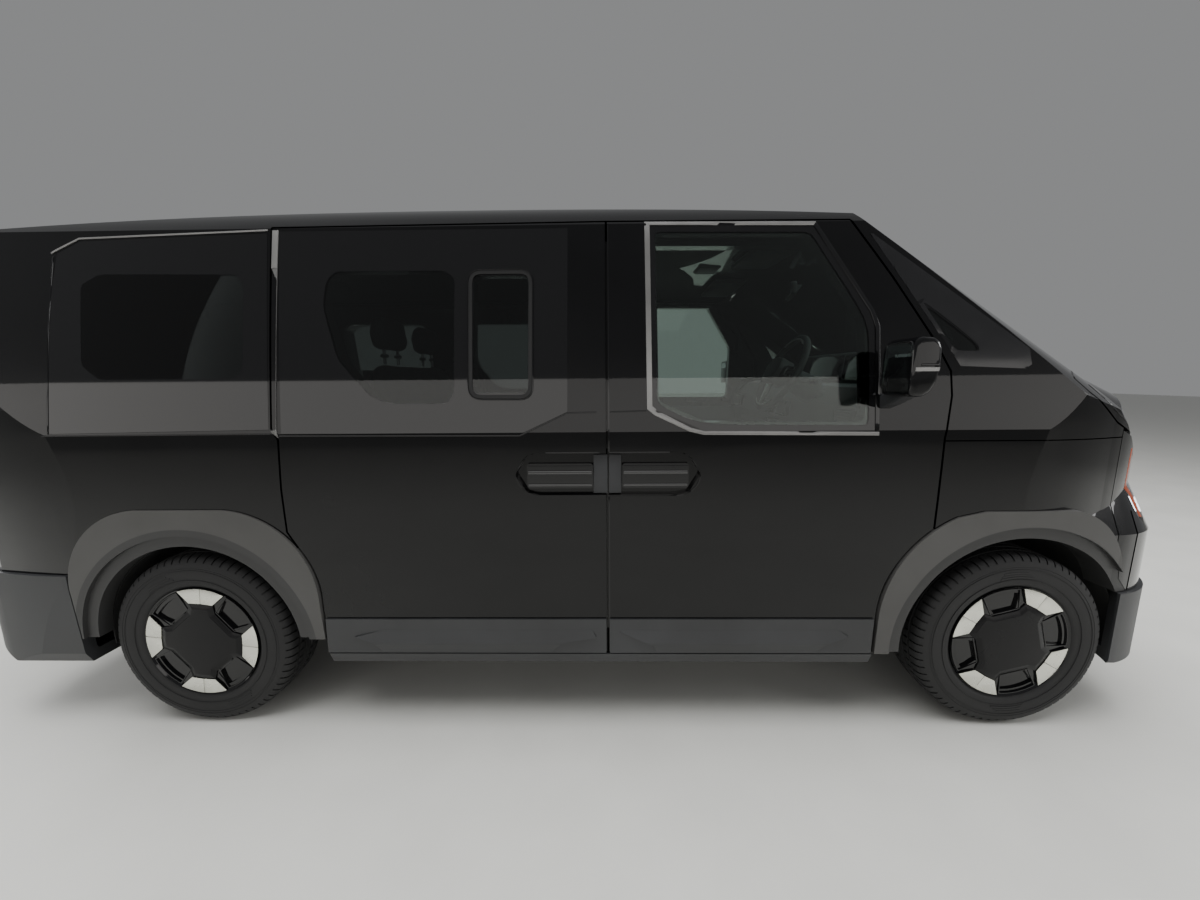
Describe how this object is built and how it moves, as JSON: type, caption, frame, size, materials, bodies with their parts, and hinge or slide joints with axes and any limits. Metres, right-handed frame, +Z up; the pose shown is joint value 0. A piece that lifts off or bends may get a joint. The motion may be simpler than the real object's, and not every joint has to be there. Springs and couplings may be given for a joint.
{
  "type": "electric van",
  "caption": "Mid-size electric passenger van with hinged front doors, sliding side doors, a hood, a tailgate, steered front wheels and a hollow cabin with seats.",
  "frame": {"origin": "on the ground, half way along the van, on its middle plane", "axes": "+X towards the front of the van, +Y to its left, +Z up"},
  "size_m": [4.695, 2.255, 1.9229],
  "materials": {
    "body_paint": "gloss black paint",
    "dark_cladding": "fine-grained dark grey plastic",
    "clear_glass": "clear tinted glass",
    "privacy_glass": "dark privacy glass",
    "lamp_lens": "clear lens",
    "tail_lens": "dark red lens",
    "gloss_trim": "gloss black plastic",
    "liner": "felt-like black liner",
    "frame_steel": "black chassis paint",
    "battery_case": "cast and pressed case",
    "motor_case": "cast housing",
    "knuckle_iron": "bare casting",
    "tyre_rubber": "black rubber",
    "wheel_finish": "gloss black cover with machined rim segments",
    "cabin_plastic": "soft-touch dark grey",
    "seat_fabric": "dark woven seat cloth"
  },
  "bodies": {
    "body": {"arch_flares": "dark_cladding", "battery_pack": "battery_case", "bodyside_left": "body_paint", "bodyside_right": "body_paint", "bulkhead": "frame_steel", "cowl_panel": "cabin_plastic", "dashboard": "cabin_plastic", "drive_unit": "motor_case", "floor_pan": "frame_steel", "front_bumper": "dark_cladding", "front_fenders": "body_paint", "front_frame": "frame_steel", "front_seats": "seat_fabric", "front_struts": "frame_steel", "headlamps": "lamp_lens", "intake_grille": "dark_cladding", "lamp_strips": "lamp_lens", "nose_panel": "body_paint", "quarter_windows": "privacy_glass", "rear_axle": "frame_steel", "rear_bumper": "dark_cladding", "rear_seats": "seat_fabric", "rocker_strips": "dark_cladding", "roof_panel": "body_paint", "sliding_door_cladding": "dark_cladding", "sliding_door_glass": "privacy_glass", "sliding_door_handles": "gloss_trim", "sliding_door_left": "body_paint", "sliding_door_right": "body_paint", "steering_wheel": "cabin_plastic", "tail_lamps": "tail_lens", "wheel_liners": "liner", "windscreen": "clear_glass"},
    "front_door_left": {"front_door_left": "body_paint", "front_door_glass_left": "clear_glass", "front_door_cladding_left": "dark_cladding", "front_door_handle_left": "gloss_trim", "door_mirror_left": "body_paint"},
    "knuckle_left": {"steering_knuckle_left": "knuckle_iron"},
    "wheel_front_left": {"tyre_front_left": "tyre_rubber", "wheel_front_left": "wheel_finish"},
    "wheel_rear_left": {"tyre_rear_left": "tyre_rubber", "wheel_rear_left": "wheel_finish"},
    "front_door_right": {"front_door_right": "body_paint", "front_door_glass_right": "clear_glass", "front_door_cladding_right": "dark_cladding", "front_door_handle_right": "gloss_trim", "door_mirror_right": "body_paint"},
    "knuckle_right": {"steering_knuckle_right": "knuckle_iron"},
    "wheel_front_right": {"tyre_front_right": "tyre_rubber", "wheel_front_right": "wheel_finish"},
    "wheel_rear_right": {"tyre_rear_right": "tyre_rubber", "wheel_rear_right": "wheel_finish"},
    "hood": {"hood": "body_paint"},
    "tailgate": {"tailgate": "body_paint", "tailgate_glass": "privacy_glass"},
    "steering_rack": {"steering_rack": "frame_steel"}
  },
  "joints": [
    {"name": "front_door_left_hinge", "type": "hinge", "parent": "body", "child": "front_door_left", "pos_m": [1.205, 0.945, 1], "axis": [0, 0, -1], "range_deg": [0, 68]},
    {"name": "front_door_right_hinge", "type": "hinge", "parent": "body", "child": "front_door_right", "pos_m": [1.205, -0.945, 1], "axis": [0, 0, 1], "range_deg": [0, 68]},
    {"name": "steering_left", "type": "hinge", "parent": "body", "child": "knuckle_left", "pos_m": [1.575, 0.745, 0.215], "axis": [0, -0.213, 0.977], "range_deg": [-35, 35]},
    {"name": "steering_right", "type": "hinge", "parent": "body", "child": "knuckle_right", "pos_m": [1.575, -0.745, 0.215], "axis": [0, 0.213, 0.977], "range_deg": [-35, 35]},
    {"name": "rack_slide", "type": "slide", "parent": "body", "child": "steering_rack", "axis": [0, 1, 0], "range_m": [-0.0764, 0.0764]},
    {"name": "wheel_front_left_spin", "type": "hinge", "parent": "knuckle_left", "child": "wheel_front_left", "pos_m": [1.575, 0.818, 0.338], "axis": [0, 1, 0], "continuous": true},
    {"name": "wheel_rear_left_spin", "type": "hinge", "parent": "body", "child": "wheel_rear_left", "pos_m": [-1.42, 0.818, 0.338], "axis": [0, 1, 0], "continuous": true},
    {"name": "wheel_front_right_spin", "type": "hinge", "parent": "knuckle_right", "child": "wheel_front_right", "pos_m": [1.575, -0.818, 0.338], "axis": [0, 1, 0], "continuous": true},
    {"name": "wheel_rear_right_spin", "type": "hinge", "parent": "body", "child": "wheel_rear_right", "pos_m": [-1.42, -0.818, 0.338], "axis": [0, 1, 0], "continuous": true},
    {"name": "hood_hinge", "type": "hinge", "parent": "body", "child": "hood", "pos_m": [1.68, 0, 1.3], "axis": [0, -1, 0], "range_deg": [0, 50]},
    {"name": "tailgate_hinge", "type": "hinge", "parent": "body", "child": "tailgate", "pos_m": [-2.18, 0, 1.85], "axis": [0, 1, 0], "range_deg": [0, 80]}
  ],
  "couplings": [
    {"joint": "steering_right", "follows": "steering_left", "ratio": 1},
    {"joint": "rack_slide", "follows": "steering_left", "m_per_rad": -0.125}
  ]
}
